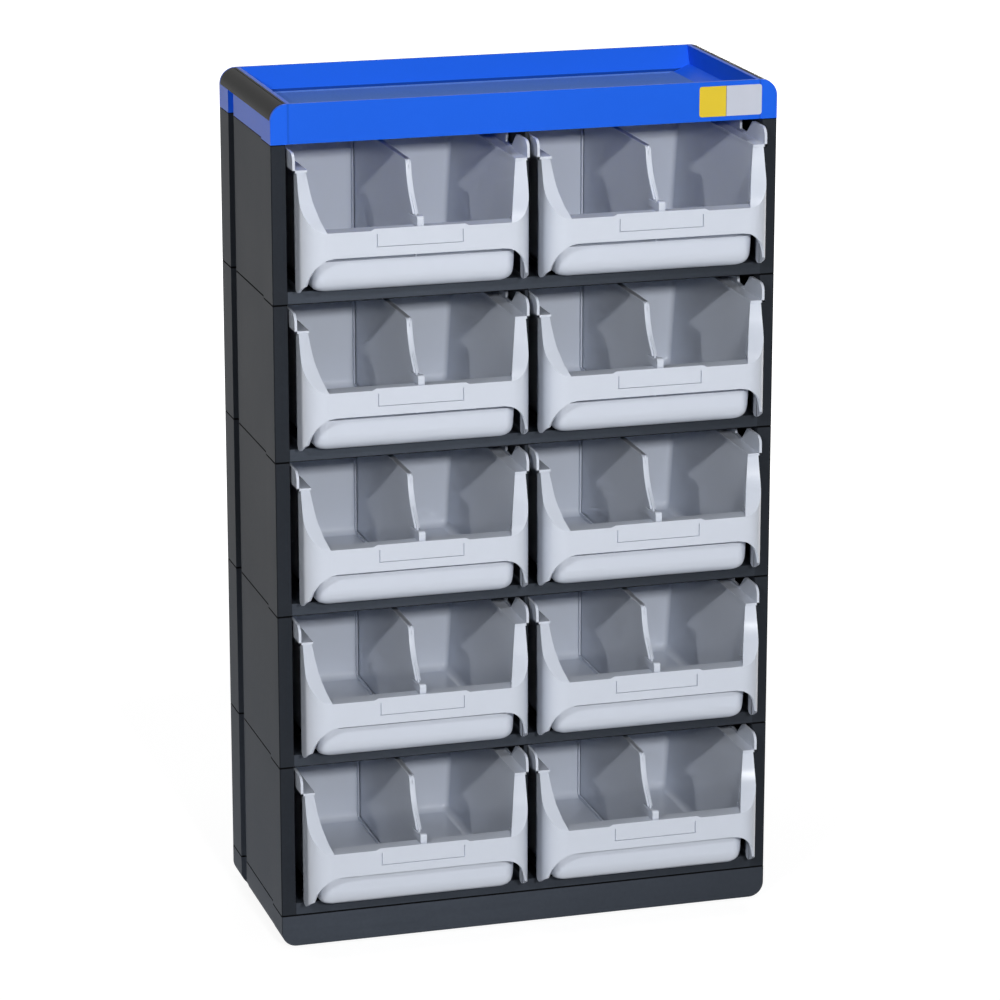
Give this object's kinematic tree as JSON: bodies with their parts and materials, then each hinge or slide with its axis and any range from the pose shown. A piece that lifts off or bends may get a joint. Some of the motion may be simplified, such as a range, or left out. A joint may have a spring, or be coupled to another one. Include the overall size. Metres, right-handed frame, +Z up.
{
  "type": "parts bin cabinet",
  "caption": "Upright parts cabinet of stacked tier frames on a plinth, with open-fronted pull-out bins in pairs, a divider in each bin, and a shallow tray with dark edge grips on top.",
  "frame": {"origin": "centre of the overall bounding box's footprint, on the surface the feet stand on", "axes": "+Z up, -Y out of the bins' fronts, +X to the right as seen from the front"},
  "size_m": [0.4, 0.207, 0.6705],
  "materials": {
    "frame": "fine-grained moulded anthracite plastic",
    "tray": "moulded blue plastic, satin, with a fine grain on the floor",
    "grip": "smooth black plastic, satin",
    "label": "printed film, plain two-tone",
    "foot": "black rubber",
    "bin": "light grey moulded plastic, satin",
    "divider": "light grey moulded plastic, satin"
  },
  "bodies": {
    "cabinet": {"tier_frame_1": "frame", "tier_frame_2": "frame", "tier_frame_3": "frame", "tier_frame_4": "frame", "tier_frame_5": "frame", "base_plinth": "frame", "top_tray": "tray", "edge_grip_left": "grip", "edge_grip_right": "grip", "tray_label": "label", "foot_front_left": "foot", "foot_front_right": "foot", "foot_back_left": "foot", "foot_back_right": "foot"},
    "bin_1_left_body": {"bin_1_left": "bin", "divider_1_left": "divider"},
    "bin_2_left_body": {"bin_2_left": "bin", "divider_2_left": "divider"},
    "bin_3_left_body": {"bin_3_left": "bin", "divider_3_left": "divider"},
    "bin_4_left_body": {"bin_4_left": "bin", "divider_4_left": "divider"},
    "bin_5_left_body": {"bin_5_left": "bin", "divider_5_left": "divider"},
    "bin_1_right_body": {"bin_1_right": "bin", "divider_1_right": "divider"},
    "bin_2_right_body": {"bin_2_right": "bin", "divider_2_right": "divider"},
    "bin_3_right_body": {"bin_3_right": "bin", "divider_3_right": "divider"},
    "bin_4_right_body": {"bin_4_right": "bin", "divider_4_right": "divider"},
    "bin_5_right_body": {"bin_5_right": "bin", "divider_5_right": "divider"}
  },
  "joints": [
    {"name": "bin_1_left_slide", "type": "slide", "parent": "cabinet", "child": "bin_1_left_body", "axis": [0, -1, 0], "range_m": [0, 0.155]},
    {"name": "bin_2_left_slide", "type": "slide", "parent": "cabinet", "child": "bin_2_left_body", "axis": [0, -1, 0], "range_m": [0, 0.155]},
    {"name": "bin_3_left_slide", "type": "slide", "parent": "cabinet", "child": "bin_3_left_body", "axis": [0, -1, 0], "range_m": [0, 0.155]},
    {"name": "bin_4_left_slide", "type": "slide", "parent": "cabinet", "child": "bin_4_left_body", "axis": [0, -1, 0], "range_m": [0, 0.155]},
    {"name": "bin_5_left_slide", "type": "slide", "parent": "cabinet", "child": "bin_5_left_body", "axis": [0, -1, 0], "range_m": [0, 0.155]},
    {"name": "bin_1_right_slide", "type": "slide", "parent": "cabinet", "child": "bin_1_right_body", "axis": [0, -1, 0], "range_m": [0, 0.155]},
    {"name": "bin_2_right_slide", "type": "slide", "parent": "cabinet", "child": "bin_2_right_body", "axis": [0, -1, 0], "range_m": [0, 0.155]},
    {"name": "bin_3_right_slide", "type": "slide", "parent": "cabinet", "child": "bin_3_right_body", "axis": [0, -1, 0], "range_m": [0, 0.155]},
    {"name": "bin_4_right_slide", "type": "slide", "parent": "cabinet", "child": "bin_4_right_body", "axis": [0, -1, 0], "range_m": [0, 0.155]},
    {"name": "bin_5_right_slide", "type": "slide", "parent": "cabinet", "child": "bin_5_right_body", "axis": [0, -1, 0], "range_m": [0, 0.155]}
  ]
}
